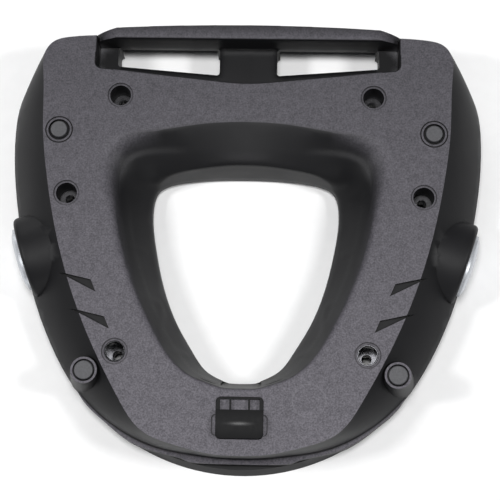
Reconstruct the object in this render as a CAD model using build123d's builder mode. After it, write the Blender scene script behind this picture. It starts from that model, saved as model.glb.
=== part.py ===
from build123d import *
import math
import os

# Plate: heights above the rim that it lies on
top_z = 42.0
shoulder_z = 31.0
foot_z = 14.0
shoulder_share = 0.48
# Walls of the moulding
top_wall = 3.4
side_wall = 3.2
upper_wall = 4.2
below_z = -1.0
rib_wall = 2.2
rib_foot_z = 16.0
rib_pitch_y = 35.0
rib_pitch_x = 28.0

# Half outlines in plan, from the front middle round the right side to the rear middle
top_edge = [
    (0, 141), (102, 139.8), (120.6, 138.4), (131.5, 134.8), (136.6, 127.5), (137.0, 112), (135.4, 75),
    (131.8, 45), (126.8, 18), (115.2, -25), (97.4, -69), (78, -105.5), (62.5, -125.8), (43, -134.2),
    (21, -139.5), (0, -140.9),
]
foot_edge = [
    (0, 144.5), (104, 142.8), (124, 140.2), (138, 132.5), (149, 117), (156, 100), (158.8, 75),
    (157.2, 45), (153.2, 18), (143.6, -25), (126.4, -69), (104, -103.2), (81.5, -121.8), (52, -134.9),
    (26, -138.9), (0, -140.4),
]
# Dish round the opening, and the opening itself
dish_edge = [
    (0, 80.2), (33, 77.8), (55, 73.5), (74, 68.4), (86, 60.5), (90.4, 46), (88.5, 28), (84, 5),
    (76.5, -20.5), (60, -57), (46, -79.3), (31, -91.3), (16, -96.7), (0, -98.4),
]
opening_edge = [
    (0, 50.2), (22, 49.6), (40, 47.6), (52, 44.8), (59.3, 40.3), (62.6, 31), (62.8, 18), (60, -1),
    (55, -23), (42.2, -55), (33.1, -70), (24, -82), (12, -88.8), (0, -90.5),
]
opening_foot_z = 4.0
opening_rim_z = 10.0
opening_draft = 5.0
dish_levels = (10.0, 42.0)
roll_levels = (30.0, 42.0)
# Width of the rolled edge between the top face and the dish, widest at the front corners
dish_roll = [1.6, 1.6, 2, 5, 9, 8, 5, 4, 3.5, 3, 2, 1.6, 1.6, 1.6]
dish_roll_slope = 0.8
dish_roll_steps = 6
roll_bite = 0.2
pocket_round = 1.2
# Arch over the opening's front wall, where the dish stops short of the opening's foot
arch_half_width = 57.0
arch_height = 29.0
arch_points = 4

# Front pocket, hook windows and bar
pocket_half_width = 102.0
pocket_floor_z = 24.0
pocket_side_y = 117.4
pocket_middle_y = 106.6
pocket_corner = 4.0
pocket_bend = 135.0
window_inner_x = 19.5
window_outer_x = 89.2
window_front_y = 137.4
window_inner_y = 118.4
window_outer_y = 124.1
window_corner = 2.0
window_foot_z = 3.0
bar_front_y = 150.4
bar_side_y = 147.8
bar_side_x = 88.0
bar_fall_x = 84.0
bar_tip_overlap = 2.5
bar_tip_y = 144.0
bar_tip_z = 31.0
bar_inner_y = 138.4
bar_edge_y = 148.7
bar_top_z = 41.4
bar_inner_round = 2.2
bar_edge_round = 1.2
bar_wall = 2.6

# Rear lip and chin
lip_edge = [(110.5, -92), (104, -104.3), (90, -117.4), (66, -133.3), (39, -140.6), (0, -144.1)]
lip_start = (-0.35, -1)
lip_top_z = 15.0
chin_reach = 150.4
chin_half_width = 68.4
chin_side_y = 132.0
chin_top_z = 9.0
chin_draft = 20.0

# Screw holes
front_screw = (84.5, 97.6)
middle_screw = (117.6, 29.6)
rear_screw = (81.4, -75.3)
screw_bore_radius = 3.3
screw_mouth_radius = 7.0
screw_ring_radius = 8.6
screw_ring_depth = 0.8
screw_seat_z = 22.0
screw_boss_radius = 11.0
screw_boss_foot_z = 12.0
seat_ring_radius = 5.2
seat_ring_height = 1.0

# Rear bushes, pressed from sheet
sheet = 0.8
slip = 0.3

# Rubber pads
front_pad = (124.5, 73.0)
rear_pad = (100.7, -88.0)
front_pad_radius = 5.5
rear_pad_radius = 6.1
pad_top_z = 43.6
pad_crown = 0.7
stem_radius = 2.7
barb_radius = 4.0
barb_height = 1.6
barb_draft = 20.0
socket_radius = 7.2
socket_ring_radius = 8.4
socket_groove_radius = 9.3
socket_groove_depth = 0.8
socket_floor_z = 39.0
socket_floor = 3.0
rear_boss_radius = 8.6
rear_boss_top_z = 42.6
rear_boss_draft = 8.0

# Catch at the rear middle
catch_length = 26.5
catch_width = 30.0
catch_front_y = -103.6
catch_corner = 3.0
catch_recess_z = 40.4
catch_frame_z = 42.7
catch_block_y = -112.0
catch_ridge_y = -121.0
catch_ridge_z = 47.5
catch_heel_z = 45.8
catch_front_margin = 1.3
catch_side_margin = 2.4
catch_bar = 1.2
catch_side_window = 6.0
catch_scoop_y = -121.5
scoop_length = 14.0
scoop_reach = 3.0
scoop_depth = 0.8
catch_pad_z = 34.0
catch_screw_x = 8.5
catch_screw_y = -121.0
catch_stud_radius = 4.2
catch_plate_length = 22.0
catch_plate_width = 40.0
catch_plate_thickness = 2.5
catch_screw_radius = 2.5
catch_screw_head_radius = 4.6
catch_screw_head = 2.8
catch_screw_length = 12.0
catch_screw_head_round = 1.0
catch_slot_depth = 1.4
catch_end_room = 1.0

# Side bosses and badges
boss_centre = (147.3, -10.5)
boss_turn = 18.4
boss_centre_z = 18.0
boss_half_length = 28.0
boss_half_height = 20.0
boss_depth = 24.0
boss_round = 3.0
badge_half_length = 21.5
badge_half_height = 13.5
badge_rim = 2.0
badge_rim_width = 1.0
badge_crown = 3.0
badge_levels = (0.0, 0.5, 0.8, 0.95)

# Gills cut in the top face
gill_inner_z = 39.8
gill_outer_z = 37.6
gill_points = [(121.7, -23.4), (98.9, -28.5), (95.3, -36.6)]
gill_steps = [(0, 0), (-9.8, -24.2)]
gill_backing_z = 36.8

os.makedirs("parts", exist_ok=True)


def inset(points, distance):
    """Move a half outline inward, square to the line between each point's neighbours."""
    distances = [distance] * len(points)
    if isinstance(distance, list):
        distances = distance
    befores = [(-points[1][0], points[1][1])] + points[:-1]
    afters = points[1:] + [(-points[-2][0], points[-2][1])]
    moved = []
    for (x, y), before, after, step in zip(points, befores, afters, distances):
        share = step / math.dist(before, after)
        moved.append((x + share * (after[1] - before[1]), y - share * (after[0] - before[0])))
    return moved


def between(start, end, share):
    """Points part of the way from one half outline to another."""
    return [(a + share * (c - a), b + share * (d - b)) for (a, b), (c, d) in zip(start, end)]


def outline(points, z):
    """Sketch a closed outline from its right half: one smooth curve on each side."""
    with BuildSketch(Plane.XY.offset(z)) as level:
        with BuildLine():
            Spline(*points, tangents=[(1, 0), (-1, 0)])
            mirror(about=Plane.YZ)
        make_face()
    return level.sketch


shoulder_edge = between(top_edge, foot_edge, shoulder_share)


def dish_level(z):
    """The dish cut level at height z, on straight lines from its edge down to the opening."""
    level = []
    for i, ((dish_x, dish_y), (low_x, low_y)) in enumerate(zip(dish_edge, opening_edge)):
        low_z = opening_rim_z
        if i < arch_points:
            low_z = opening_foot_z + arch_height * math.sqrt(1 - (low_x / arch_half_width) ** 2)
        share = (top_z - z) / (top_z - low_z)
        level.append((dish_x + share * (low_x - dish_x), dish_y + share * (low_y - dish_y)))
    return level


def dish_roll_level(depth):
    """The rolled edge cut at a depth below the top face: a quarter of an ellipse at each point."""
    grown = []
    for roll in dish_roll:
        rise = max(0, 1 - depth / (roll * dish_roll_slope))
        grown.append(roll_bite - (1 - math.sqrt(1 - rise**2)) * (roll + roll_bite))
    return outline(inset(dish_level(top_z - depth), grown), top_z - depth)


def opening_shaft(bottom, top, growth):
    """The drafted shaft of the opening between two heights, grown outward by a wall."""
    spread = math.tan(math.radians(opening_draft))
    low = inset(opening_edge, -growth - spread * (bottom - opening_foot_z))
    high = inset(opening_edge, -growth - spread * (top - opening_foot_z))
    return loft([outline(low, bottom), outline(high, top)], ruled=True, mode=Mode.PRIVATE)


def pocket_outline(growth, z):
    """The front pocket in plan: open to the front, with a shallow V behind."""
    with BuildSketch(Plane.XY.offset(z)) as level:
        with BuildLine():
            Polyline(
                (-pocket_half_width - growth, bar_front_y),
                (-pocket_half_width - growth, pocket_side_y - growth),
                (0, pocket_middle_y - growth),
                (pocket_half_width + growth, pocket_side_y - growth),
                (pocket_half_width + growth, bar_front_y),
                close=True,
            )
        make_face()
        fillet(level.vertices().group_by(Axis.Y)[1], pocket_corner + growth)
        fillet(level.vertices().group_by(Axis.Y)[0], pocket_bend)
    return level.sketch


def window_outline(growth, z):
    """The two hook windows in plan."""
    with BuildSketch(Plane.XY.offset(z)) as level:
        with BuildLine():
            Polyline(
                (window_inner_x - growth, window_front_y + growth),
                (window_outer_x + growth, window_front_y + growth),
                (window_outer_x + growth, window_outer_y - growth),
                (window_inner_x - growth, window_inner_y - growth),
                close=True,
            )
        make_face()
        fillet(level.vertices(), window_corner + growth)
        mirror(about=Plane.YZ)
    return level.sketch


def boss_outline(side, half_length, half_height, height):
    """An oval square to a side boss, at a height outside the boss's face."""
    turn = math.radians(boss_turn)
    outward = (side * math.cos(turn), -math.sin(turn), 0)
    x, y = boss_centre
    origin = (side * x + height * outward[0], y + height * outward[1], boss_centre_z)
    with BuildSketch(Plane(origin, x_dir=(-outward[1], outward[0], 0), z_dir=outward)) as face:
        Ellipse(half_length, half_height)
    return face.sketch


def side_boss(side):
    """An oval boss on the skirt, rounded at both ends."""
    with BuildPart(mode=Mode.PRIVATE) as boss:
        extrude(boss_outline(side, boss_half_length, boss_half_height, 0), amount=-boss_depth)
        fillet(boss.edges().filter_by(GeomType.ELLIPSE), boss_round)
    return boss.part


def badge_level(side, share):
    """The badge's oval part of the way up its dome."""
    width = math.sqrt(1 - share**2)
    half_length = (badge_half_length - badge_rim_width) * width
    half_height = (badge_half_height - badge_rim_width) * width
    return boss_outline(side, half_length, half_height, badge_rim + share * badge_crown)


def gill_plan(side, step):
    """One gill's triangle in plan: the tip on the shoulder, then the two inner corners."""
    return [(side * (x + step[0]), y + step[1]) for x, y in gill_points]


def gill_floor(side, step):
    """One gill's triangle on its sloping floor, which falls toward the shoulder."""
    tip, corner, end = gill_plan(side, step)
    slope = (gill_outer_z - gill_inner_z) / (tip[0] - corner[0])
    floor = Plane((*corner, gill_inner_z), x_dir=(1, 0, slope), z_dir=(-slope, 0, 1))
    with BuildSketch(floor) as face:
        with BuildLine():
            Polyline(
                (0, 0),
                (end[0] - corner[0], end[1] - corner[1]),
                (tip[0] - corner[0], tip[1] - corner[1]),
                close=True,
            )
        make_face()
    return face.sketch


def both_sides(place):
    """A place on the right-hand side and its mirror image on the left."""
    return [place, (-place[0], place[1])]


bar_tip_x = pocket_half_width + bar_tip_overlap
bar_lean = bar_front_y - bar_edge_y
screw_places = both_sides(front_screw) + both_sides(middle_screw) + both_sides(rear_screw)
roll_backing = [-(side_wall + roll / 2) / 2 for roll in dish_roll]
dish_roll_turns = [math.radians(90 * step / dish_roll_steps) for step in range(dish_roll_steps + 1)]
dish_roll_depths = [max(dish_roll) * dish_roll_slope * (1 - math.sin(turn)) for turn in dish_roll_turns]
rib_rows = [
    front_screw[1],
    (front_screw[1] + middle_screw[1]) / 2,
    middle_screw[1],
    middle_screw[1] - rib_pitch_y,
    rear_screw[1] + rib_pitch_y,
    rear_screw[1],
    rear_screw[1] - rib_pitch_y,
]
rib_lines = [0, rib_pitch_x, 2 * rib_pitch_x, front_screw[0], middle_screw[0]]
front_pads = both_sides(front_pad)
rear_pads = both_sides(rear_pad)
catch_screw_places = both_sides((catch_screw_x, catch_screw_y))
catch_middle_y = catch_front_y - catch_length / 2
catch_rear_y = catch_front_y - catch_length
catch_window_length = catch_front_y - catch_front_margin - catch_block_y
catch_window_y = catch_block_y + catch_window_length / 2
catch_window_x = catch_width / 2 - catch_side_margin - catch_side_window / 2
catch_middle_window = catch_width - 2 * (catch_side_margin + catch_side_window + catch_bar)

# Bar in front of the pocket: its section, its leaning front and its falling ends
with BuildPart() as bar:
    with BuildSketch(Plane.YZ):
        with BuildLine():
            Polyline(
                (window_front_y, 0),
                (window_front_y, pocket_floor_z),
                (bar_inner_y, bar_top_z),
                (bar_front_y, bar_top_z),
                (bar_front_y, 0),
                close=True,
            )
        make_face()
    extrude(amount=bar_tip_x, both=True)
    with BuildSketch(Plane.XY):
        with BuildLine():
            ThreePointArc((bar_side_x, bar_side_y), (0, bar_front_y), (-bar_side_x, bar_side_y))
            Polyline(
                (-bar_side_x, bar_side_y),
                (-bar_tip_x, bar_tip_y),
                (-bar_tip_x, pocket_side_y),
                (bar_tip_x, pocket_side_y),
                (bar_tip_x, bar_tip_y),
                (bar_side_x, bar_side_y),
            )
        make_face()
    extrude(amount=bar_top_z, taper=math.degrees(math.atan(bar_lean / bar_top_z)), mode=Mode.INTERSECT)
    rims = bar.edges().filter_by_position(Axis.Z, bar_top_z - 0.01, bar_top_z + 0.01)
    fillet(rims.filter_by(Axis.X).sort_by(Axis.Y)[0], bar_inner_round)
    fillet(rims.filter_by(Axis.X, reverse=True).sort_by(Axis.Y)[-1], bar_edge_round)
    with BuildSketch(Plane.XZ):
        with BuildLine():
            fall = TangentArc((bar_fall_x, bar_top_z), (bar_tip_x, bar_tip_z), tangent=(1, 0))
            Polyline(fall @ 1, (bar_tip_x, top_z), (bar_fall_x, top_z), fall @ 0)
        make_face()
        mirror(about=Plane.YZ)
    extrude(amount=-2 * bar_front_y, mode=Mode.SUBTRACT)

# Room inside the bar, behind its inner wall and open below
with BuildPart() as bar_room:
    with BuildSketch(Plane.YZ):
        with BuildLine():
            Polyline(
                (window_front_y, below_z),
                (window_front_y, pocket_floor_z - side_wall),
                (window_front_y + bar_wall, pocket_floor_z - side_wall),
                (bar_inner_y + bar_wall, bar_top_z - top_wall),
                (bar_side_y - bar_lean - bar_wall, bar_top_z - top_wall),
                (bar_side_y - bar_wall, below_z),
                close=True,
            )
        make_face()
    extrude(amount=window_outer_x, both=True)

# Core of the mould: the room under the plate, with the walls, ribs and bosses left in it
foot_inside = outline(inset(foot_edge, side_wall), foot_z)
shoulder_inside = outline(inset(shoulder_edge, side_wall), shoulder_z - top_wall)
top_inside = outline(inset(top_edge, upper_wall), top_z - top_wall)
with BuildPart() as core:
    extrude(foot_inside, amount=below_z - foot_z)
    loft([foot_inside, shoulder_inside, top_inside])
    add(bar_room.part)
    # Room inside the chin and the side bosses
    with BuildSketch(Plane.XY.offset(below_z)):
        with BuildLine():
            arc = ThreePointArc(
                (-chin_half_width, -chin_side_y + side_wall),
                (0, -chin_reach + upper_wall),
                (chin_half_width, -chin_side_y + side_wall),
            )
            Line(arc @ 0, arc @ 1)
        make_face()
    extrude(amount=chin_top_z - side_wall - below_z)
    for side in (-1, 1):
        inner_length = boss_half_length - side_wall
        inner_height = boss_half_height - side_wall
        extrude(boss_outline(side, inner_length, inner_height, -side_wall), amount=side_wall - boss_depth)

with BuildPart() as kept:
    # Collar round the opening, thicker behind its rolled edge
    dish_walls = [outline(inset(dish_level(z), -side_wall / 2), z - top_wall) for z in dish_levels]
    loft(dish_walls, ruled=True)
    roll_walls = [outline(inset(dish_level(z), roll_backing), z - top_wall) for z in roll_levels]
    loft(roll_walls, ruled=True)
    add(opening_shaft(opening_foot_z, top_z - top_wall, side_wall))
    # Pocket and hook windows
    extrude(pocket_outline(side_wall, pocket_floor_z - side_wall), amount=top_z)
    extrude(window_outline(side_wall, window_foot_z), amount=pocket_floor_z)
    # Screw bosses, pad sockets and catch pad
    with BuildSketch(Plane.XY.offset(screw_boss_foot_z)):
        with Locations(*screw_places):
            Circle(screw_boss_radius)
    extrude(amount=top_z)
    with BuildSketch(Plane.XY.offset(socket_floor_z - socket_floor)):
        with Locations(*front_pads, *rear_pads):
            Circle(socket_groove_radius)
    extrude(amount=top_z)
    with BuildSketch(Plane.XY.offset(catch_pad_z)):
        with Locations((0, catch_middle_y)):
            Rectangle(catch_width + 2 * side_wall, catch_length + 2 * side_wall)
    extrude(amount=top_z)
    # Backing under the gills
    for side in (-1, 1):
        for step in gill_steps:
            with BuildSketch(Plane.XY.offset(gill_backing_z)):
                with BuildLine():
                    Polyline(*gill_plan(side, step), close=True)
                make_face()
                offset(amount=side_wall)
            extrude(amount=top_z)
    # Ribs
    with BuildSketch(Plane.XY.offset(rib_foot_z)):
        with Locations(*[(0, y) for y in rib_rows]):
            Rectangle(2 * foot_edge[6][0], rib_wall)
        with Locations(*[(x, 0) for x in rib_lines]):
            Rectangle(rib_wall, 2 * chin_reach)
        mirror(about=Plane.YZ)
    extrude(amount=top_z)
    add(bar_room.part, mode=Mode.SUBTRACT)

with BuildPart() as room:
    add(core.part)
    add(kept.part, mode=Mode.SUBTRACT)

# The plate: outer form less the core, then everything cut in from above
foot_face = outline(foot_edge, foot_z)
with BuildPart() as plate:
    extrude(foot_face, amount=-foot_z)
    loft([foot_face, outline(shoulder_edge, shoulder_z), outline(top_edge, top_z)])
    # Lip and chin at the rear
    with BuildSketch(Plane.XY):
        with BuildLine():
            Spline(*lip_edge, tangents=[lip_start, (-1, 0)])
            mirror(about=Plane.YZ)
            Line((lip_edge[0][0], lip_edge[0][1]), (-lip_edge[0][0], lip_edge[0][1]))
        make_face()
    extrude(amount=lip_top_z)
    with BuildSketch(Plane.XY):
        with BuildLine():
            rim = ThreePointArc(
                (-chin_half_width, -chin_side_y), (0, -chin_reach), (chin_half_width, -chin_side_y)
            )
            Line(rim @ 0, rim @ 1)
        make_face()
    extrude(amount=chin_top_z, taper=chin_draft)
    # Side bosses and the raised seats of the rear pads
    for side in (-1, 1):
        add(side_boss(side))
    with BuildSketch(Plane.XY.offset(rear_boss_top_z)):
        with Locations(*rear_pads):
            Circle(rear_boss_radius)
    extrude(amount=foot_z - rear_boss_top_z, taper=-rear_boss_draft)
    # Front pocket, and the bar across it
    extrude(pocket_outline(0, pocket_floor_z), amount=top_z, mode=Mode.SUBTRACT)
    add(bar.part)
    # Dish and opening
    loft([outline(dish_level(z), z) for z in dish_levels], ruled=True, mode=Mode.SUBTRACT)
    loft([dish_roll_level(depth) for depth in dish_roll_depths], ruled=True, mode=Mode.SUBTRACT)
    add(opening_shaft(below_z, top_z, 0), mode=Mode.SUBTRACT)
    pocket_edges = plate.edges().filter_by_position(Axis.Z, top_z - 0.01, top_z + 0.01)
    pocket_edges = pocket_edges.filter_by_position(Axis.X, -pocket_half_width, pocket_half_width)
    fillet(pocket_edges.filter_by_position(Axis.Y, pocket_middle_y, top_edge[1][1]), pocket_round)
    split(bisect_by=Plane.XY, keep=Keep.TOP)
    # Flat seats for the badges
    for side in (-1, 1):
        seat = boss_outline(side, badge_half_length + slip, badge_half_height + slip, 0)
        extrude(seat, amount=boss_depth, mode=Mode.SUBTRACT)
    extrude(window_outline(0, 0), amount=pocket_floor_z, mode=Mode.SUBTRACT)
    # Screw holes, each with a shallow ring round its mouth
    with BuildSketch(Plane.XY.offset(top_z)):
        with Locations(*screw_places):
            Circle(screw_ring_radius)
    extrude(amount=-screw_ring_depth, mode=Mode.SUBTRACT)
    with BuildSketch(Plane.XY.offset(top_z)):
        with Locations(*screw_places):
            Circle(screw_mouth_radius)
    extrude(amount=screw_seat_z - top_z, mode=Mode.SUBTRACT)
    with BuildSketch(Plane.XY.offset(screw_seat_z)):
        with Locations(*both_sides(front_screw), *both_sides(middle_screw)):
            Circle(seat_ring_radius)
    extrude(amount=seat_ring_height)
    with Locations(*[(x, y, top_z) for x, y in screw_places]):
        Hole(screw_bore_radius)
    # Pad sockets: a round recess, a hole for the stem and room below for the barb
    with BuildSketch(Plane.XY.offset(socket_floor_z)):
        with Locations(*front_pads, *rear_pads):
            Circle(socket_radius)
    extrude(amount=top_z, mode=Mode.SUBTRACT)
    with BuildSketch(Plane.XY.offset(top_z)):
        with Locations(*front_pads):
            Circle(socket_groove_radius)
            Circle(socket_ring_radius, mode=Mode.SUBTRACT)
    extrude(amount=-socket_groove_depth, mode=Mode.SUBTRACT)
    with BuildSketch(Plane.XY.offset(foot_z)):
        with Locations(*front_pads, *rear_pads):
            Circle(stem_radius + slip)
    extrude(amount=top_z - foot_z, mode=Mode.SUBTRACT)
    with BuildSketch(Plane.XY.offset(foot_z)):
        with Locations(*front_pads, *rear_pads):
            Circle(socket_radius)
    extrude(amount=socket_floor_z - socket_floor - foot_z, mode=Mode.SUBTRACT)
    # Catch recess with two stud holes, scoops beside it, and room below for its steel plate
    with BuildSketch(Plane.XY.offset(catch_recess_z)):
        with Locations((0, catch_middle_y)):
            RectangleRounded(catch_width + 2 * slip, catch_length + 2 * slip, catch_corner + slip)
    extrude(amount=top_z, mode=Mode.SUBTRACT)
    with BuildSketch(Plane.XY.offset(top_z)):
        with Locations((0, catch_scoop_y)):
            RectangleRounded(catch_width + 2 * scoop_reach, scoop_length, scoop_reach)
    extrude(amount=-scoop_depth, mode=Mode.SUBTRACT)
    with BuildSketch(Plane.XY.offset(foot_z)):
        with Locations(*catch_screw_places):
            Circle(catch_stud_radius + slip)
    extrude(amount=top_z - foot_z, mode=Mode.SUBTRACT)
    with BuildSketch(Plane.XY.offset(foot_z)):
        with Locations((0, catch_screw_y)):
            Rectangle(catch_plate_width + 2 * catch_end_room, catch_plate_length + 2 * catch_end_room)
    extrude(amount=catch_pad_z - foot_z, mode=Mode.SUBTRACT)
    # Gills: wedges that run out over the shoulder
    for side in (-1, 1):
        for step in gill_steps:
            extrude(gill_floor(side, step), amount=top_z, dir=(0, 0, 1), mode=Mode.SUBTRACT)
    add(room.part, mode=Mode.SUBTRACT)


def rubber_pad(place, radius):
    """A domed rubber button with a stem through the socket's floor and a barb below it."""
    x, y = place
    floor_bottom = socket_floor_z - socket_floor
    with BuildPart() as pad:
        with BuildSketch(Plane((x, y, socket_floor_z))):
            Circle(radius)
        extrude(amount=pad_top_z - socket_floor_z)
        fillet(pad.edges().sort_by(Axis.Z)[-1], pad_crown)
        with BuildSketch(Plane((x, y, socket_floor_z))):
            Circle(stem_radius)
        extrude(amount=-socket_floor)
        with BuildSketch(Plane((x, y, floor_bottom))):
            Circle(barb_radius)
        extrude(amount=-barb_height, taper=barb_draft)
    return pad.part


def steel_bush(place):
    """A pressed cup with a rounded rim, a wall down the mouth and a holed floor."""
    x, y = place
    rim_z = top_z - screw_ring_depth
    with BuildPart() as cup:
        with BuildSketch(Plane((x, y, screw_seat_z))):
            Circle(screw_mouth_radius - slip)
        extrude(amount=rim_z - screw_seat_z)
        with BuildSketch(Plane((x, y, rim_z))):
            Circle(screw_mouth_radius - slip - sheet)
        extrude(amount=screw_seat_z + sheet - rim_z, mode=Mode.SUBTRACT)
        with BuildSketch(Plane((x, y, screw_seat_z))):
            Circle(screw_bore_radius)
        extrude(amount=sheet, mode=Mode.SUBTRACT)
        rims = cup.edges().filter_by(GeomType.CIRCLE).group_by(Axis.Z)[-1]
        fillet(rims.sort_by(SortBy.RADIUS)[0], sheet / 2)
    return cup.part


def catch_screw(x):
    """A pan-head screw that comes up through the steel plate into the catch block's stud."""
    head_top = catch_pad_z - catch_plate_thickness
    with BuildPart() as screw:
        with BuildSketch(Plane((x, catch_screw_y, head_top))):
            Circle(catch_screw_head_radius)
        extrude(amount=-catch_screw_head)
        fillet(screw.edges().sort_by(Axis.Z)[0], catch_screw_head_round)
        with BuildSketch(Plane((x, catch_screw_y, head_top))):
            Circle(catch_screw_radius)
        extrude(amount=catch_screw_length)
        with BuildSketch(Plane((x, catch_screw_y, head_top - catch_screw_head))):
            Rectangle(2 * catch_screw_radius, sheet)
            Rectangle(sheet, 2 * catch_screw_radius)
        extrude(amount=catch_slot_depth, mode=Mode.SUBTRACT)
    return screw.part


def side_badge(side):
    """A bare oval badge with a raised rim and a domed middle, set on its boss's face."""
    with BuildPart() as badge:
        extrude(boss_outline(side, badge_half_length, badge_half_height, 0), amount=badge_rim)
        loft([badge_level(side, share) for share in badge_levels])
    return badge.part


# Catch block: a frame with three windows, and a wedge with a ridge behind them
with BuildPart() as catch:
    with BuildSketch(Plane.YZ):
        with BuildLine():
            Polyline(
                (catch_front_y, catch_recess_z),
                (catch_front_y, catch_frame_z),
                (catch_block_y, catch_frame_z),
                (catch_block_y, catch_heel_z),
                (catch_ridge_y, catch_ridge_z),
                (catch_rear_y, catch_heel_z),
                (catch_rear_y, catch_recess_z),
                close=True,
            )
        make_face()
    extrude(amount=catch_width, both=True)
    with BuildSketch(Plane.XY.offset(catch_recess_z)):
        with Locations((0, catch_middle_y)):
            RectangleRounded(catch_width, catch_length, catch_corner)
    extrude(amount=catch_ridge_z, mode=Mode.INTERSECT)
    with BuildSketch(Plane.XY.offset(catch_recess_z)):
        with Locations((0, catch_window_y)):
            Rectangle(catch_middle_window, catch_window_length)
        with Locations((-catch_window_x, catch_window_y), (catch_window_x, catch_window_y)):
            Rectangle(catch_side_window, catch_window_length)
    extrude(amount=catch_frame_z, mode=Mode.SUBTRACT)
    with BuildSketch(Plane.XY.offset(catch_recess_z)):
        with Locations(*catch_screw_places):
            Circle(catch_stud_radius)
    extrude(amount=catch_pad_z - catch_recess_z)
    with BuildSketch(Plane.XY.offset(catch_pad_z)):
        with Locations(*catch_screw_places):
            Circle(catch_screw_radius + slip)
    extrude(amount=catch_screw_length - catch_plate_thickness + catch_end_room, mode=Mode.SUBTRACT)

# Steel plate under the catch, with a hole for each screw
with BuildPart() as catch_plate:
    with BuildSketch(Plane.XY.offset(catch_pad_z)):
        with Locations((0, catch_screw_y)):
            RectangleRounded(catch_plate_width, catch_plate_length, catch_corner)
        with Locations(*catch_screw_places):
            Circle(catch_screw_radius + slip, mode=Mode.SUBTRACT)
    extrude(amount=-catch_plate_thickness)

front_left_pad = rubber_pad(front_pads[1], front_pad_radius)
front_right_pad = rubber_pad(front_pads[0], front_pad_radius)
rear_left_pad = rubber_pad(rear_pads[1], rear_pad_radius)
rear_right_pad = rubber_pad(rear_pads[0], rear_pad_radius)
rear_left_bush = steel_bush(both_sides(rear_screw)[1])
rear_right_bush = steel_bush(rear_screw)
catch_screw_left = catch_screw(-catch_screw_x)
catch_screw_right = catch_screw(catch_screw_x)
left_side_badge = side_badge(-1)
right_side_badge = side_badge(1)

plate.part.label = "plate_moulding"
export_step(plate.part, "parts/plate_moulding.step")
front_left_pad.label = "front_left_pad"
export_step(front_left_pad, "parts/front_left_pad.step")
front_right_pad.label = "front_right_pad"
export_step(front_right_pad, "parts/front_right_pad.step")
rear_left_pad.label = "rear_left_pad"
export_step(rear_left_pad, "parts/rear_left_pad.step")
rear_right_pad.label = "rear_right_pad"
export_step(rear_right_pad, "parts/rear_right_pad.step")
rear_left_bush.label = "rear_left_bush"
export_step(rear_left_bush, "parts/rear_left_bush.step")
rear_right_bush.label = "rear_right_bush"
export_step(rear_right_bush, "parts/rear_right_bush.step")
catch.part.label = "catch_block"
export_step(catch.part, "parts/catch_block.step")
catch_plate.part.label = "catch_plate"
export_step(catch_plate.part, "parts/catch_plate.step")
catch_screw_left.label = "catch_screw_left"
export_step(catch_screw_left, "parts/catch_screw_left.step")
catch_screw_right.label = "catch_screw_right"
export_step(catch_screw_right, "parts/catch_screw_right.step")
left_side_badge.label = "left_side_badge"
export_step(left_side_badge, "parts/left_side_badge.step")
right_side_badge.label = "right_side_badge"
export_step(right_side_badge, "parts/right_side_badge.step")
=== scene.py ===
import math

import bpy
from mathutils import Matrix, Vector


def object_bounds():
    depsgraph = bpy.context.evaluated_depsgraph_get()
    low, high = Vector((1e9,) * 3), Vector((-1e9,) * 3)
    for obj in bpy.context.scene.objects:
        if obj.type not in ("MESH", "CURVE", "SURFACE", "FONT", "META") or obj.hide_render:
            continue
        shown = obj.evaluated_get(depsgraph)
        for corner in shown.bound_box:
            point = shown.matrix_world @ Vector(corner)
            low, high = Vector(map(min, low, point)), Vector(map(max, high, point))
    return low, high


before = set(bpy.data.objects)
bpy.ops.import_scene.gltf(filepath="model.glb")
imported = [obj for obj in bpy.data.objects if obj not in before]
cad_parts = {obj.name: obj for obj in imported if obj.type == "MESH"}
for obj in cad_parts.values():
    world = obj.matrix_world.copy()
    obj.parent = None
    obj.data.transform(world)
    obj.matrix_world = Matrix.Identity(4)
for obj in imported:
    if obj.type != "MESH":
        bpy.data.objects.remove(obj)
cad_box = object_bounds()

# Plate moulding: one hollow injection moulding in black glass-filled nylon.
# The tool is spark eroded where the case rests, which comes out as a pale dull grain, and polished
# elsewhere, so the dish, the pocket walls and the skirt are smoother and darker.
merge_distance = 1e-6
smooth_angle = math.radians(42)
level_face = 0.99999

# Where the grain is, with heights and places in metres and turns as the Z part of a normal
grain_lowest_z = 0.0402
lip_z = 0.0150
edge_blur = 0.0001
turned_nz, level_nz = 0.94, 0.995
dish_centre_y = 0.045
dish_half_x, dish_half_y = 0.101, 0.155
side_end_y, front_start_y = 0.048, 0.062
corner_start_x, corner_end_x = 0.055, 0.085
wells_y = 0.086
front_rim_step = 0.0016
bar_y = 0.128
roll_low_nz, roll_high_nz = 0.45, 0.97
roll_low_z, roll_high_z = 0.034, 0.041
# Painted highlight: the grain stays pale along the bar's inner round, and fades toward its outer edge
ridge_highlight_start_y, ridge_highlight_end_y = 0.1405, 0.1475
outer_bar_grain_share = 0.4

# The grain itself, its painted sheen toward the rear, and the faint circle in it
grain_width = 0.0011
grain_patch = 0.0036
patch_share = 0.25
grain_hollow, grain_peak = 0.34, 0.66
grain_depth = 0.00010
grain_bump_share = 0.8
grain_rough = 0.52
front_y, rear_y = 0.12, -0.14
# Painted sheen: grain tones at the front, and paler tones at the rear where the light falls more brightly
front_low, front_high = "#39383c", "#56545a"
rear_sheen_low, rear_sheen_high = "#454349", "#6c6970"
witness_centre = (0.0441, -0.1052, 0.042)
witness_radius = 0.0106
witness_line = 0.0009
witness_share = 0.28
witness_tone = "#7a787e"
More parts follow.
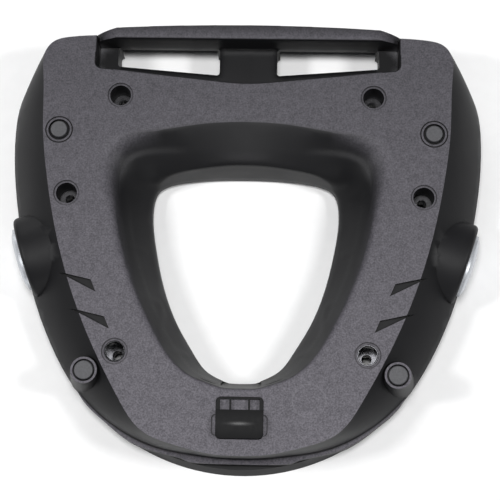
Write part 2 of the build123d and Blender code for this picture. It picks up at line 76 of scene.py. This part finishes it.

# The smooth skin, and the dust, painted light and shade on it
skin_dark, skin_pale = "#0f0f11", "#18181a"
skin_flow_width = 0.045
flow_low, flow_high = 0.3, 0.7
skin_rough_low, skin_rough_high = 0.44, 0.54
peel_width = 0.0015
peel_depth = 0.00002
peel_share = 0.5
blend_radius = 0.007
blend_z, rim_z = 0.036, 0.040
hollow_width = 0.012
# Dust and painted light: where the pale tone lies in the wells and corners, and its colour
dust_and_light_full, dust_and_light_none = 0.12, 0.5
plain_top_z, dust_and_light_z = 0.037, 0.033
dust_and_light_tone = "#848387"
corner_width = 0.0015
corner_full, corner_none = 0.5, 0.98
corner_tone = "#060606"
nylon_ior = 1.5
nylon_specular = 0.22


def linear(colour):
    """Turn an sRGB hex colour into linear red, green, blue and alpha, by the sRGB curve."""
    shares = [int(colour[i:i + 2], 16) / 255 for i in (1, 3, 5)]
    return (*[s / 12.92 if s <= 0.04045 else ((s + 0.055) / 1.055) ** 2.4 for s in shares], 1.0)


def add_node(tree, kind, inputs, **settings):
    """Add one node to a tree. Settings are its properties, and inputs its sockets, as values or links."""
    made = tree.nodes.new(kind)
    for name, value in settings.items():
        setattr(made, name, value)
    for socket, value in inputs.items():
        if isinstance(value, bpy.types.NodeSocket):
            tree.links.new(value, made.inputs[socket])
        else:
            made.inputs[socket].default_value = value
    return made


def start_material(name):
    """Make a material with an empty node tree."""
    material = bpy.data.materials.new(name)
    material.use_nodes = True
    material.node_tree.nodes.clear()
    return material, material.node_tree


def finish_material(tree, shader):
    """Link a shader to the surface of its material."""
    add_node(tree, "ShaderNodeOutputMaterial", {"Surface": shader.outputs["BSDF"]})


def make_smooth_rounds():
    """Make the node group that joins a piece's loose triangles and shades its rounds smooth, up to
    an angle between two faces. Faces that look straight up stay flat, so that a round doesn't bend
    the shading of the face it meets."""
    group = bpy.data.node_groups.new("smooth rounds", "GeometryNodeTree")
    for in_out in ("INPUT", "OUTPUT"):
        group.interface.new_socket("Geometry", in_out=in_out, socket_type="NodeSocketGeometry")
    source = add_node(group, "NodeGroupInput", {})
    joined = add_node(
        group, "GeometryNodeMergeByDistance",
        {"Geometry": source.outputs[0], "Distance": merge_distance},
    )
    normal = add_node(group, "GeometryNodeInputNormal", {})
    upright = add_node(group, "ShaderNodeSeparateXYZ", {"Vector": normal.outputs[0]})
    not_level = add_node(
        group, "FunctionNodeCompare", {0: upright.outputs["Z"], 1: level_face},
        data_type="FLOAT", operation="LESS_THAN",
    )
    edge = add_node(group, "GeometryNodeInputMeshEdgeAngle", {})
    soft = add_node(
        group, "FunctionNodeCompare", {0: edge.outputs["Unsigned Angle"], 1: smooth_angle},
        data_type="FLOAT", operation="LESS_EQUAL",
    )
    faces = add_node(
        group, "GeometryNodeSetShadeSmooth",
        {"Geometry": joined.outputs[0], "Shade Smooth": not_level.outputs[0]}, domain="FACE",
    )
    edges = add_node(
        group, "GeometryNodeSetShadeSmooth",
        {"Geometry": faces.outputs[0], "Shade Smooth": soft.outputs[0]}, domain="EDGE",
    )
    add_node(group, "NodeGroupOutput", {0: edges.outputs[0]})
    return group


smooth_rounds = make_smooth_rounds()


def dress(name, material):
    """Put a material in every slot of a CAD node, and shade its rounds smooth."""
    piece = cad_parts[name]
    for slot in piece.material_slots:
        slot.material = material
    piece.modifiers.new("smooth rounds", "NODES").node_group = smooth_rounds


nylon, tree = start_material("black glass-filled nylon")
place = add_node(tree, "ShaderNodeTexCoord", {})
parts = add_node(tree, "ShaderNodeSeparateXYZ", {"Vector": place.outputs["Object"]})
surface = add_node(tree, "ShaderNodeNewGeometry", {})
facing = add_node(tree, "ShaderNodeSeparateXYZ", {"Vector": surface.outputs["Normal"]})

# The dish lies in an ellipse. At its front wall the grain stops sharply at the rim
from_middle = add_node(
    tree, "ShaderNodeMapping",
    {"Vector": place.outputs["Object"], "Location": (0, -dish_centre_y / dish_half_y, 0),
     "Scale": (1 / dish_half_x, 1 / dish_half_y, 0)},
)
middle_distance = add_node(
    tree, "ShaderNodeVectorMath", {0: from_middle.outputs[0]}, operation="LENGTH"
)
in_dish = add_node(
    tree, "ShaderNodeMath", {0: middle_distance.outputs["Value"], 1: 1.0}, operation="LESS_THAN"
)
behind_front = add_node(
    tree, "ShaderNodeMapRange",
    {"Value": parts.outputs["Y"], "From Min": side_end_y, "From Max": front_start_y,
     "To Min": 1.0, "To Max": 0.0},
)
aside = add_node(tree, "ShaderNodeMath", {0: parts.outputs["X"]}, operation="ABSOLUTE")
in_corner = add_node(
    tree, "ShaderNodeMapRange",
    {"Value": aside.outputs[0], "From Min": corner_start_x, "From Max": corner_end_x},
)
beside_front = add_node(
    tree, "ShaderNodeMath", {0: behind_front.outputs[0], 1: in_corner.outputs[0]},
    operation="MAXIMUM",
)
before_wells = add_node(
    tree, "ShaderNodeMath", {0: parts.outputs["Y"], 1: wells_y}, operation="LESS_THAN"
)
not_beside = add_node(
    tree, "ShaderNodeMath", {0: 1.0, 1: beside_front.outputs[0]}, operation="SUBTRACT"
)
in_front = add_node(
    tree, "ShaderNodeMath", {0: not_beside.outputs[0], 1: before_wells.outputs[0]},
    operation="MULTIPLY",
)
front_wall = add_node(
    tree, "ShaderNodeMath", {0: in_dish.outputs[0], 1: in_front.outputs[0]}, operation="MULTIPLY"
)
height = add_node(
    tree, "ShaderNodeMath", {0: front_wall.outputs[0], 1: -front_rim_step, 2: parts.outputs["Z"]},
    operation="MULTIPLY_ADD",
)
is_high = add_node(
    tree, "ShaderNodeMapRange",
    {"Value": height.outputs[0], "From Min": grain_lowest_z - edge_blur,
     "From Max": grain_lowest_z},
)
is_lip = add_node(
    tree, "ShaderNodeMath", {0: parts.outputs["Z"], 1: lip_z, 2: edge_blur}, operation="COMPARE"
)
is_face = add_node(
    tree, "ShaderNodeMath", {0: is_high.outputs[0], 1: is_lip.outputs[0]}, operation="MAXIMUM"
)
is_level = add_node(
    tree, "ShaderNodeMapRange",
    {"Value": facing.outputs["Z"], "From Min": turned_nz, "From Max": level_nz},
)
face_grain = add_node(
    tree, "ShaderNodeMath", {0: is_face.outputs[0], 1: is_level.outputs[0]}, operation="MULTIPLY"
)

# Over the rolled sides of the dish, and the round along the bar, the grain fades out slowly
dish_sides = add_node(
    tree, "ShaderNodeMath", {0: in_dish.outputs[0], 1: beside_front.outputs[0]},
    operation="MULTIPLY",
)
on_bar = add_node(
    tree, "ShaderNodeMath", {0: parts.outputs["Y"], 1: bar_y}, operation="GREATER_THAN"
)
rolled = add_node(
    tree, "ShaderNodeMath", {0: dish_sides.outputs[0], 1: on_bar.outputs[0]}, operation="MAXIMUM"
)
roll_turn = add_node(
    tree, "ShaderNodeMapRange",
    {"Value": facing.outputs["Z"], "From Min": roll_low_nz, "From Max": roll_high_nz},
)
roll_height = add_node(
    tree, "ShaderNodeMapRange",
    {"Value": parts.outputs["Z"], "From Min": roll_low_z, "From Max": roll_high_z},
)
roll_part = add_node(
    tree, "ShaderNodeMath", {0: roll_turn.outputs[0], 1: roll_height.outputs[0]},
    operation="MULTIPLY",
)
roll_grain = add_node(
    tree, "ShaderNodeMath", {0: roll_part.outputs[0], 1: rolled.outputs[0]}, operation="MULTIPLY"
)
full_grain = add_node(
    tree, "ShaderNodeMath", {0: face_grain.outputs[0], 1: roll_grain.outputs[0]},
    operation="MAXIMUM",
)

# The bar's grain is painted fading into the darker skin toward its outer edge; the pale grain left along
# its inner round is a painted highlight on the ridge
bar_ridge_highlight = add_node(
    tree, "ShaderNodeMapRange",
    {"Value": parts.outputs["Y"], "From Min": ridge_highlight_start_y, "From Max": ridge_highlight_end_y,
     "To Min": 1.0, "To Max": outer_bar_grain_share},
)
grained = add_node(
    tree, "ShaderNodeMath", {0: full_grain.outputs[0], 1: bar_ridge_highlight.outputs[0]}, operation="MULTIPLY"
)

# Spark-eroded grain, drawn about twice as coarse as the real one so that it shows, in slow patches
grain = add_node(
    tree, "ShaderNodeTexNoise",
    {"Vector": place.outputs["Object"], "Scale": 1 / grain_width, "Detail": 2.0,
     "Roughness": 0.65},
)
patches = add_node(
    tree, "ShaderNodeTexNoise",
    {"Vector": place.outputs["Object"], "Scale": 1 / grain_patch, "Detail": 2.0,
     "Roughness": 0.5},
)
grain_mixed = add_node(
    tree, "ShaderNodeMix",
    {"Factor": patch_share, "A": grain.outputs["Fac"], "B": patches.outputs["Fac"]},
)
grain_share = add_node(
    tree, "ShaderNodeMapRange",
    {"Value": grain_mixed.outputs[0], "From Min": grain_hollow, "From Max": grain_peak},
)

# Painted sheen: the grain is painted paler toward the rear, where the light falls on it more brightly
painted_sheen_share = add_node(
    tree, "ShaderNodeMapRange",
    {"Value": parts.outputs["Y"], "From Min": front_y, "From Max": rear_y},
)
grain_low = add_node(
    tree, "ShaderNodeMix",
    {"Factor": painted_sheen_share.outputs[0], 6: linear(front_low), 7: linear(rear_sheen_low)},
    data_type="RGBA",
)
grain_high = add_node(
    tree, "ShaderNodeMix",
    {"Factor": painted_sheen_share.outputs[0], 6: linear(front_high), 7: linear(rear_sheen_high)},
    data_type="RGBA",
)
grain_tone = add_node(
    tree, "ShaderNodeMix",
    {"Factor": grain_share.outputs[0], 6: grain_low.outputs[2], 7: grain_high.outputs[2]},
    data_type="RGBA",
)

# The round insert of the mould leaves a faint circle in the grain, right of the catch
from_witness = add_node(
    tree, "ShaderNodeVectorMath", {0: place.outputs["Object"], 1: witness_centre},
    operation="DISTANCE",
)
off_line = add_node(
    tree, "ShaderNodeMath", {0: from_witness.outputs["Value"], 1: witness_radius},
    operation="SUBTRACT",
)
off_line_size = add_node(tree, "ShaderNodeMath", {0: off_line.outputs[0]}, operation="ABSOLUTE")
witness = add_node(
    tree, "ShaderNodeMapRange",
    {"Value": off_line_size.outputs[0], "From Min": 0.0, "From Max": witness_line,
     "To Min": witness_share, "To Max": 0.0},
)
marked_tone = add_node(
    tree, "ShaderNodeMix",
    {"Factor": witness.outputs[0], 6: grain_tone.outputs[2], 7: linear(witness_tone)},
    data_type="RGBA",
)

# Flow marks: a slow, faint change of tone over the smooth skin
flow = add_node(
    tree, "ShaderNodeTexNoise",
    {"Vector": place.outputs["Object"], "Scale": 1 / skin_flow_width, "Detail": 3.0,
     "Distortion": 0.4},
)
skin_tone = add_node(
    tree, "ShaderNodeMix",
    {"Factor": flow.outputs["Fac"], 6: linear(skin_dark), 7: linear(skin_pale)},
    data_type="RGBA",
)
bare_tone = add_node(
    tree, "ShaderNodeMix",
    {"Factor": grained.outputs[0], 6: skin_tone.outputs[2], 7: marked_tone.outputs[2]},
    data_type="RGBA",
)

# Paler tone in the wells and the pocket's corners: partly dust, partly painted light on their walls
hollow = add_node(
    tree, "ShaderNodeAmbientOcclusion", {"Distance": hollow_width}, samples=8, only_local=True
)
dust_and_light_share = add_node(
    tree, "ShaderNodeMapRange",
    {"Value": hollow.outputs["AO"], "From Min": dust_and_light_full, "From Max": dust_and_light_none,
     "To Min": 1.0, "To Max": 0.0},
)
low_down = add_node(
    tree, "ShaderNodeMapRange",
    {"Value": parts.outputs["Z"], "From Min": plain_top_z, "From Max": dust_and_light_z},
)
dust_and_light_depth = add_node(
    tree, "ShaderNodeMath", {0: dust_and_light_share.outputs[0], 1: low_down.outputs[0]},
    operation="MULTIPLY",
)
dust_and_light_mixed = add_node(
    tree, "ShaderNodeMix",
    {"Factor": dust_and_light_depth.outputs[0], 6: bare_tone.outputs[2], 7: linear(dust_and_light_tone)},
    data_type="RGBA",
)

# Deep shade in the foot of every small step
corner = add_node(
    tree, "ShaderNodeAmbientOcclusion", {"Distance": corner_width}, samples=8, only_local=True
)
corner_share = add_node(
    tree, "ShaderNodeMapRange",
    {"Value": corner.outputs["AO"], "From Min": corner_full, "From Max": corner_none},
)
tone = add_node(
    tree, "ShaderNodeMix",
    {"Factor": corner_share.outputs[0], 6: linear(corner_tone), 7: dust_and_light_mixed.outputs[2]},
    data_type="RGBA",
)
skin_rough = add_node(
    tree, "ShaderNodeMapRange",
    {"Value": flow.outputs["Fac"], "From Min": flow_low, "From Max": flow_high,
     "To Min": skin_rough_low, "To Max": skin_rough_high},
)
rough = add_node(
    tree, "ShaderNodeMix",
    {"Factor": grained.outputs[0], "A": skin_rough.outputs[0], "B": grain_rough},
)

# The wall of the dish is blended by hand in the mould, so its crease is shaded as a broad round
below_rim = add_node(
    tree, "ShaderNodeMapRange",
    {"Value": parts.outputs["Z"], "From Min": blend_z, "From Max": rim_z,
     "To Min": blend_radius, "To Max": 0.0},
)
blend = add_node(
    tree, "ShaderNodeMath", {0: below_rim.outputs[0], 1: in_dish.outputs[0]}, operation="MULTIPLY"
)
blended = add_node(tree, "ShaderNodeBevel", {"Radius": blend.outputs[0]}, samples=8)

# A fine orange peel on the skin, and the deeper grain on the top face
peel = add_node(
    tree, "ShaderNodeTexNoise",
    {"Vector": place.outputs["Object"], "Scale": 1 / peel_width, "Detail": 1.0},
)
peel_bump = add_node(
    tree, "ShaderNodeBump",
    {"Height": peel.outputs["Fac"], "Strength": peel_share, "Distance": peel_depth,
     "Normal": blended.outputs[0]},
)
grain_strength = add_node(
    tree, "ShaderNodeMath", {0: grained.outputs[0], 1: grain_bump_share}, operation="MULTIPLY"
)
grain_bump = add_node(
    tree, "ShaderNodeBump",
    {"Height": grain.outputs["Fac"], "Strength": grain_strength.outputs[0],
     "Distance": grain_depth, "Normal": peel_bump.outputs["Normal"]},
)
shader = add_node(
    tree, "ShaderNodeBsdfPrincipled",
    {"Base Color": tone.outputs[2], "Roughness": rough.outputs[0], "IOR": nylon_ior,
     "Specular IOR Level": nylon_specular, "Normal": grain_bump.outputs["Normal"]},
)
finish_material(tree, shader)
dress("plate_moulding", nylon)

# Rubber pads: four push-in buttons in EPDM rubber, on which the case rests.
# Moulded, with a dull dusty face that is paler than the plate's skin.
rubber_dark, rubber_dusty = "#323234", "#525256"
rubber_dust_width = 0.0012
rubber_dust_depth = 0.00005
rubber_dust_share = 0.5
rubber_rough = 0.55
rubber_ior = 1.52

rubber, tree = start_material("moulded EPDM rubber")
place = add_node(tree, "ShaderNodeTexCoord", {})
dust = add_node(
    tree, "ShaderNodeTexNoise",
    {"Vector": place.outputs["Object"], "Scale": 1 / rubber_dust_width, "Detail": 4.0},
)
tone = add_node(
    tree, "ShaderNodeMix",
    {"Factor": dust.outputs["Fac"], 6: linear(rubber_dark), 7: linear(rubber_dusty)},
    data_type="RGBA",
)
bump = add_node(
    tree, "ShaderNodeBump",
    {"Height": dust.outputs["Fac"], "Strength": rubber_dust_share, "Distance": rubber_dust_depth},
)
shader = add_node(
    tree, "ShaderNodeBsdfPrincipled",
    {"Base Color": tone.outputs[2], "Roughness": rubber_rough, "IOR": rubber_ior,
     "Normal": bump.outputs["Normal"]},
)
finish_material(tree, shader)
for name in ("front_left_pad", "front_right_pad", "rear_left_pad", "rear_right_pad"):
    dress(name, rubber)

# Rear bushes: two cups pressed from thin steel and nickel plated, with faint draw lines.
# The plating is painted dark grey, as painted shade for the dark room it reflects, so only the
# reflections of the lamps stand out. The lines are 1.1 mm apart and 17 mm long, coarser than the real
# ones, so that they show.
# Painted shade: both tones are painted dark to stand for the dark room the cups reflect
shaded_nickel_dark, shaded_nickel_pale = "#222224", "#414143"
nickel_rough_low, nickel_rough_high = 0.10, 0.22
draw_lines_per_metre = (900, 900, 60)

nickel, tree = start_material("nickel plated steel painted dark")
place = add_node(tree, "ShaderNodeTexCoord", {})
stretched = add_node(
    tree, "ShaderNodeMapping", {"Vector": place.outputs["Object"], "Scale": draw_lines_per_metre}
)
draw_lines = add_node(
    tree, "ShaderNodeTexNoise",
    {"Vector": stretched.outputs["Vector"], "Scale": 1.0, "Detail": 2.0},
)
tone = add_node(
    tree, "ShaderNodeMix",
    {"Factor": draw_lines.outputs["Fac"], 6: linear(shaded_nickel_dark), 7: linear(shaded_nickel_pale)},
    data_type="RGBA",
)
rough = add_node(
    tree, "ShaderNodeMapRange",
    {"Value": draw_lines.outputs["Fac"], "To Min": nickel_rough_low, "To Max": nickel_rough_high},
)
shader = add_node(
    tree, "ShaderNodeBsdfPrincipled",
    {"Base Color": tone.outputs[2], "Metallic": 1.0, "Roughness": rough.outputs[0]},
)
finish_material(tree, shader)
for name in ("rear_left_bush", "rear_right_bush"):
    dress(name, nickel)

# Catch block: moulded acetal, black and satin, polished along its ridge where the lock slides.
# The tool was bead blasted, so all else is duller, with scuffs about 1.4 mm wide and 4 mm long.
block_black, block_scuffed = "#060607", "#0f0f11"
scuffs_per_metre = (700, 260, 400)
scuff_low, scuff_high = 0.4, 0.75
satin_rough, scuff_rough = 0.52, 0.6
ridge_y = -0.1210
strip_half_x, strip_half_y = 0.0115, 0.0018
polish_full, polish_none = 0.2, 1.0
polish_rough = 0.28
acetal_ior = 1.48
acetal_specular = 0.18

acetal, tree = start_material("moulded black acetal")
place = add_node(tree, "ShaderNodeTexCoord", {})
stretched = add_node(
    tree, "ShaderNodeMapping", {"Vector": place.outputs["Object"], "Scale": scuffs_per_metre}
)
scuffs = add_node(
    tree, "ShaderNodeTexNoise",
    {"Vector": stretched.outputs["Vector"], "Scale": 1.0, "Detail": 4.0},
)
satin = add_node(
    tree, "ShaderNodeMapRange",
    {"Value": scuffs.outputs["Fac"], "From Min": scuff_low, "From Max": scuff_high,
     "To Min": satin_rough, "To Max": scuff_rough},
)
# How far a point is from the middle of the polished strip, with 1 at the strip's edge
off_ridge = add_node(
    tree, "ShaderNodeMapping",
    {"Vector": place.outputs["Object"], "Location": (0, -ridge_y / strip_half_y, 0),
     "Scale": (1 / strip_half_x, 1 / strip_half_y, 0)},
)
off_strip = add_node(tree, "ShaderNodeVectorMath", {0: off_ridge.outputs[0]}, operation="LENGTH")
polish = add_node(
    tree, "ShaderNodeMapRange",
    {"Value": off_strip.outputs["Value"], "From Min": polish_full, "From Max": polish_none,
     "To Min": 1.0, "To Max": 0.0},
)
rough = add_node(
    tree, "ShaderNodeMix",
    {"Factor": polish.outputs[0], "A": satin.outputs[0], "B": polish_rough},
)
tone = add_node(
    tree, "ShaderNodeMix",
    {"Factor": scuffs.outputs["Fac"], 6: linear(block_black), 7: linear(block_scuffed)},
    data_type="RGBA",
)
shader = add_node(
    tree, "ShaderNodeBsdfPrincipled",
    {"Base Color": tone.outputs[2], "Roughness": rough.outputs[0], "IOR": acetal_ior,
     "Specular IOR Level": acetal_specular},
)
finish_material(tree, shader)
dress("catch_block", acetal)

# Catch plate and its two screws: mild steel, zinc plated, with the dull spangle of the plating.
# They hold the catch block from below, so they are seen only from underneath.
zinc_pale, zinc_dull = "#a9acb0", "#8d9094"
zinc_rough_low, zinc_rough_high = 0.28, 0.46
spangle_width = 0.0014

zinc, tree = start_material("zinc plated steel")
place = add_node(tree, "ShaderNodeTexCoord", {})
spangle = add_node(
    tree, "ShaderNodeTexVoronoi",
    {"Vector": place.outputs["Object"], "Scale": 1 / spangle_width},
)
rough = add_node(
    tree, "ShaderNodeMapRange",
    {"Value": spangle.outputs["Distance"], "To Min": zinc_rough_low, "To Max": zinc_rough_high},
)
tone = add_node(
    tree, "ShaderNodeMix",
    {"Factor": spangle.outputs["Distance"], 6: linear(zinc_pale), 7: linear(zinc_dull)},
    data_type="RGBA",
)
shader = add_node(
    tree, "ShaderNodeBsdfPrincipled",
    {"Base Color": tone.outputs[2], "Metallic": 1.0, "Roughness": rough.outputs[0]},
)
finish_material(tree, shader)
for name in ("catch_plate", "catch_screw_left", "catch_screw_right"):
    dress(name, zinc)

# Side badges: oval ABS domes with a silver flake paint, one on each side boss.
# Sprayed before they are stuck on, and bare of any mark.
silver_pale, silver_dull = "#d3d6da", "#a9adb3"
flake_width = 0.0005
silver_metallic = 0.35
silver_rough = 0.32

silver, tree = start_material("silver flake paint on ABS")
place = add_node(tree, "ShaderNodeTexCoord", {})
flake = add_node(
    tree, "ShaderNodeTexVoronoi", {"Vector": place.outputs["Object"], "Scale": 1 / flake_width}
)
tone = add_node(
    tree, "ShaderNodeMix",
    {"Factor": flake.outputs["Distance"], 6: linear(silver_pale), 7: linear(silver_dull)},
    data_type="RGBA",
)
shader = add_node(
    tree, "ShaderNodeBsdfPrincipled",
    {"Base Color": tone.outputs[2], "Metallic": silver_metallic, "Roughness": silver_rough},
)
finish_material(tree, shader)
for name in ("left_side_badge", "right_side_badge"):
    dress(name, silver)

# Studio: a white paper floor just under the plate, a softbox at each side and one overhead, two low
# fills, and the camera above the rear, placed so that the pairs of holes and pads fall where the
# picture has them. Every lamp looks at the origin.
floor_half = 3.0
floor_z = cad_box[0][2] - 0.0002
paper_dark, paper_pale = "#f6f6f6", "#fcfcfc"
fibres_per_metre = 120.0
paper_rough = 0.9
room_tone = "#f2f4f8"
room_strength = 0.10
lamps = [  # name, place, width of the disk, watts
    ("left softbox", (-0.95, -0.05, 1.05), 0.26, 7.5),
    ("right softbox", (0.95, -0.05, 1.05), 0.26, 7.5),
    ("overhead softbox", (0.0, 0.02, 1.35), 0.35, 8.0),
    ("front fill", (-0.5, 1.5, 0.75), 0.9, 7.0),
    ("rear fill", (0.3, -1.6, 0.60), 0.9, 4.0),
]
sensor_mm, lens_mm = 36, 108
camera_place = (0.03325, -0.22385, 0.99439)
camera_turn = (12.836, 1.454, 1.232)

sides = ((-1, -1), (1, -1), (1, 1), (-1, 1))
corners = [(x * floor_half, y * floor_half, floor_z) for x, y in sides]
floor_mesh = bpy.data.meshes.new("floor")
floor_mesh.from_pydata(corners, [], [(0, 1, 2, 3)])
floor = bpy.data.objects.new("floor", floor_mesh)
bpy.context.collection.objects.link(floor)
paper, tree = start_material("white paper")
place = add_node(tree, "ShaderNodeTexCoord", {})
fibre = add_node(
    tree, "ShaderNodeTexNoise",
    {"Vector": place.outputs["Object"], "Scale": fibres_per_metre, "Detail": 4.0},
)
tone = add_node(
    tree, "ShaderNodeMix",
    {"Factor": fibre.outputs["Fac"], 6: linear(paper_dark), 7: linear(paper_pale)},
    data_type="RGBA",
)
shader = add_node(
    tree, "ShaderNodeBsdfPrincipled", {"Base Color": tone.outputs[2], "Roughness": paper_rough}
)
finish_material(tree, shader)
floor_mesh.materials.append(paper)

world = bpy.data.worlds.new("studio")
world.use_nodes = True
world.node_tree.nodes["Background"].inputs["Color"].default_value = linear(room_tone)
world.node_tree.nodes["Background"].inputs["Strength"].default_value = room_strength
bpy.context.scene.world = world
bpy.context.scene.view_settings.view_transform = "Standard"

for name, position, width, watts in lamps:
    lamp = bpy.data.lights.new(name, "AREA")
    lamp.shape = "DISK"
    lamp.size = width
    lamp.energy = watts
    box = bpy.data.objects.new(name, lamp)
    box.location = position
    pitch = math.atan2(math.hypot(position[0], position[1]), position[2])
    turn = math.atan2(position[1], position[0])
    box.rotation_euler = (0, pitch, turn)
    bpy.context.collection.objects.link(box)

lens = bpy.data.cameras.new("camera")
lens.sensor_width = sensor_mm
lens.lens = lens_mm
camera = bpy.data.objects.new("camera", lens)
camera.location = camera_place
camera.rotation_euler = [math.radians(angle) for angle in camera_turn]
bpy.context.collection.objects.link(camera)
bpy.context.scene.camera = camera
